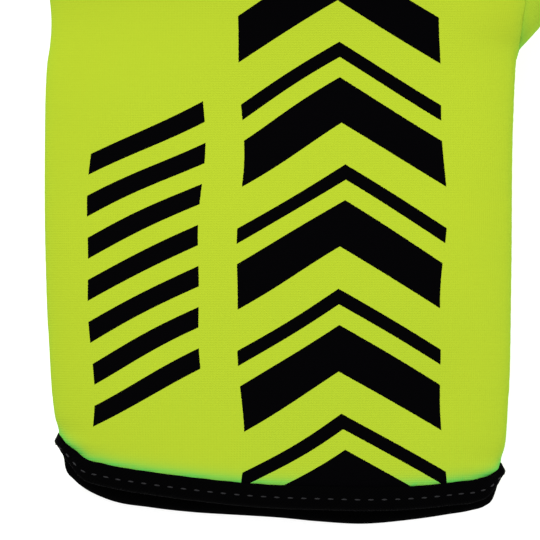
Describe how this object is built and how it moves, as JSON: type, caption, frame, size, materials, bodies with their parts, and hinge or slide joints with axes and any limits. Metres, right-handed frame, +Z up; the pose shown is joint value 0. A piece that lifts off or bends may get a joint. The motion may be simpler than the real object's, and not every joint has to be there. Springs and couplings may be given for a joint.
{
  "type": "karting glove",
  "caption": "Left-hand stretch karting glove with a long plain cuff and a narrow bound hem, hollow and open at the mouth, lying on its palm.",
  "frame": {"origin": "on the surface that the glove lies on, under the middle of the palm, 122 mm towards the fingers from the lowest point of the hem", "axes": "+Y from the cuff towards the fingertips, +X towards the thumb, +Z up out of the back of the hand"},
  "size_m": [0.1522, 0.2666, 0.0258],
  "materials": {
    "fabric": "smooth fine-knit stretch cloth, bright yellow-green",
    "tape": "matt black woven binding tape"
  },
  "bodies": {
    "root": {"back_panel": "fabric", "palm_panel": "fabric", "thumb_panel": "fabric", "cuff_binding": "tape"}
  },
  "joints": []
}
